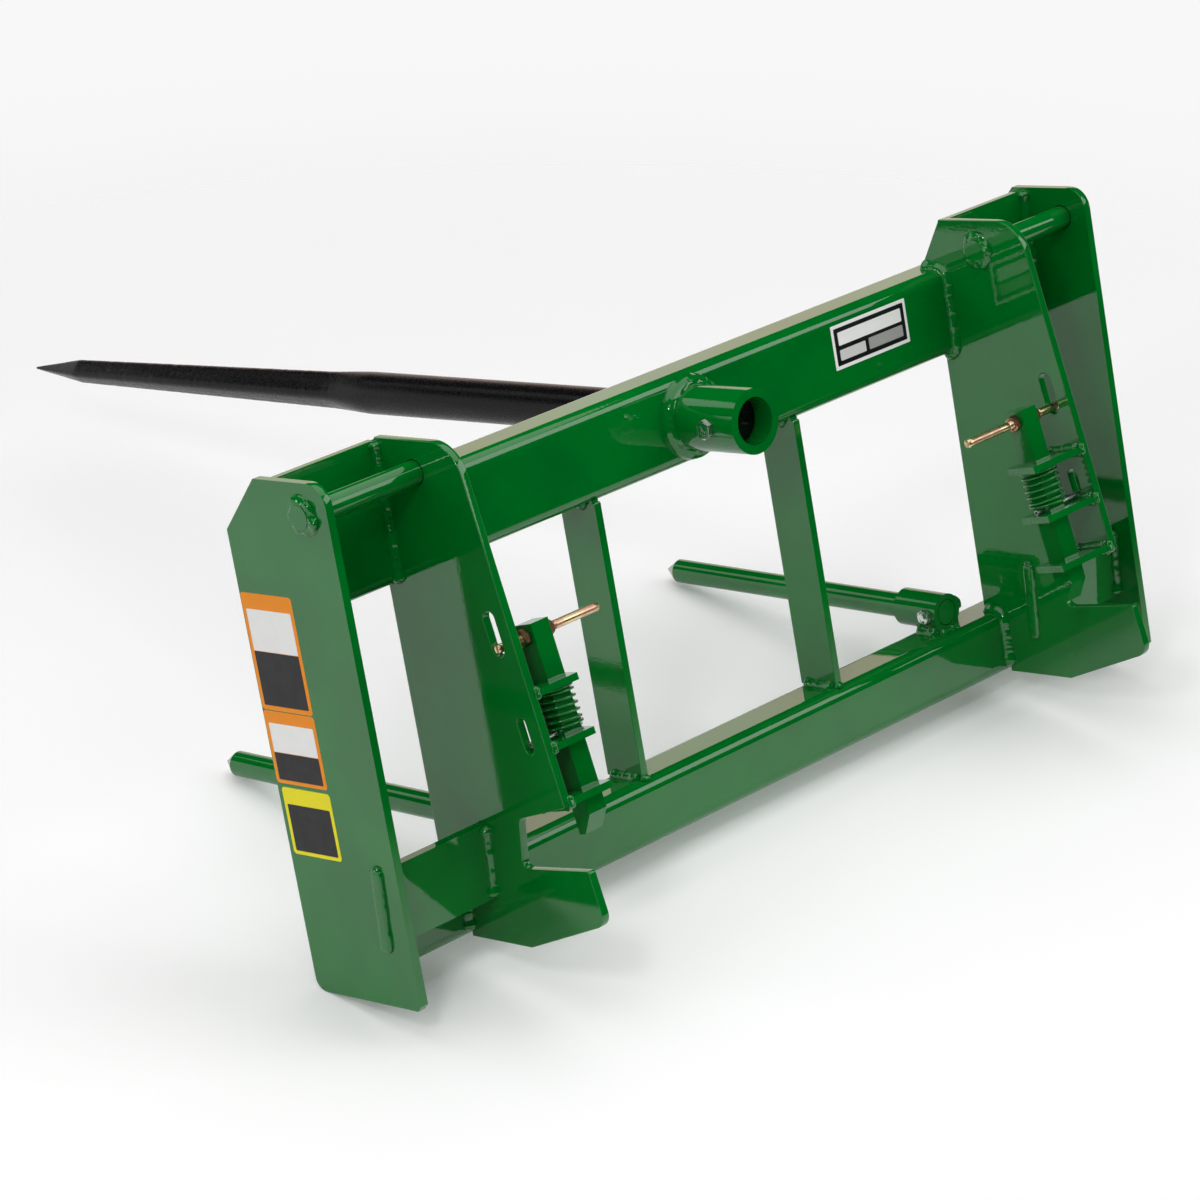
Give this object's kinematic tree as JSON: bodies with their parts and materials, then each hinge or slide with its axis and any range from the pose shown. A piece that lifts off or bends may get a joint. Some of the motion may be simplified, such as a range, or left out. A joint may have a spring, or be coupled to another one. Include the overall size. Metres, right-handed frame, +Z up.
{
  "type": "bale spear frame",
  "caption": "Loader attachment for round bales: a long spear and short stabiliser spears on a welded frame of tubes and side plates with sprung latches.",
  "frame": {"origin": "middle of the common axis of the two hook bars, midway between the outer side plates", "axes": "+Y along the main spear towards its point, +Z up the side plates, +X to the right seen from the loader"},
  "size_m": [1.18, 1.3694, 0.549],
  "materials": {
    "green_paint": "gloss paint",
    "painted_spring": "gloss paint on spring wire",
    "painted_fastener": "gloss paint over zinc",
    "black_forged_steel": "black satin paint over forged scale",
    "yellow_zinc": "yellow zinc plate",
    "zinc": "zinc plate with paint overspray",
    "pin_steel": "bright zinc plate"
  },
  "bodies": {
    "carrier": {"upper_cross_tube": "green_paint", "lower_cross_tube": "green_paint", "left_upright_bar": "green_paint", "right_upright_bar": "green_paint", "left_outer_plate": "green_paint", "right_outer_plate": "green_paint", "left_inner_plate": "green_paint", "right_inner_plate": "green_paint", "left_back_plate": "green_paint", "right_back_plate": "green_paint", "left_hook_bar": "green_paint", "right_hook_bar": "green_paint", "left_stop_bar": "green_paint", "right_stop_bar": "green_paint", "spear_socket": "green_paint", "main_spear": "black_forged_steel", "spear_bolt": "zinc", "spear_nut": "painted_fastener", "left_collar": "green_paint", "right_collar": "green_paint", "left_stabiliser": "green_paint", "right_stabiliser": "green_paint", "left_stabiliser_bolt": "zinc", "right_stabiliser_bolt": "zinc", "left_stabiliser_nut": "painted_fastener", "right_stabiliser_nut": "painted_fastener", "left_top_guide": "green_paint", "right_top_guide": "green_paint", "left_middle_guide": "green_paint", "right_middle_guide": "green_paint", "left_bottom_guide": "green_paint", "right_bottom_guide": "green_paint", "left_spring": "painted_spring", "right_spring": "painted_spring"},
    "left_latch": {"left_latch_bar": "green_paint", "left_handle": "yellow_zinc", "left_inner_nut": "yellow_zinc", "left_outer_nut": "yellow_zinc", "left_roll_pin": "pin_steel"},
    "right_latch": {"right_latch_bar": "green_paint", "right_handle": "yellow_zinc", "right_inner_nut": "yellow_zinc", "right_outer_nut": "yellow_zinc", "right_roll_pin": "pin_steel"}
  },
  "joints": [
    {"name": "left_latch_slide", "type": "slide", "parent": "carrier", "child": "left_latch", "axis": [0, 0.1865, 0.9825], "range_m": [0, 0.021], "stiffness_N_per_m": 2500, "springref_m": -0.012, "deforming": ["left_spring"]},
    {"name": "right_latch_slide", "type": "slide", "parent": "carrier", "child": "right_latch", "axis": [0, 0.1865, 0.9825], "range_m": [0, 0.021], "stiffness_N_per_m": 2500, "springref_m": -0.012, "deforming": ["right_spring"]}
  ]
}
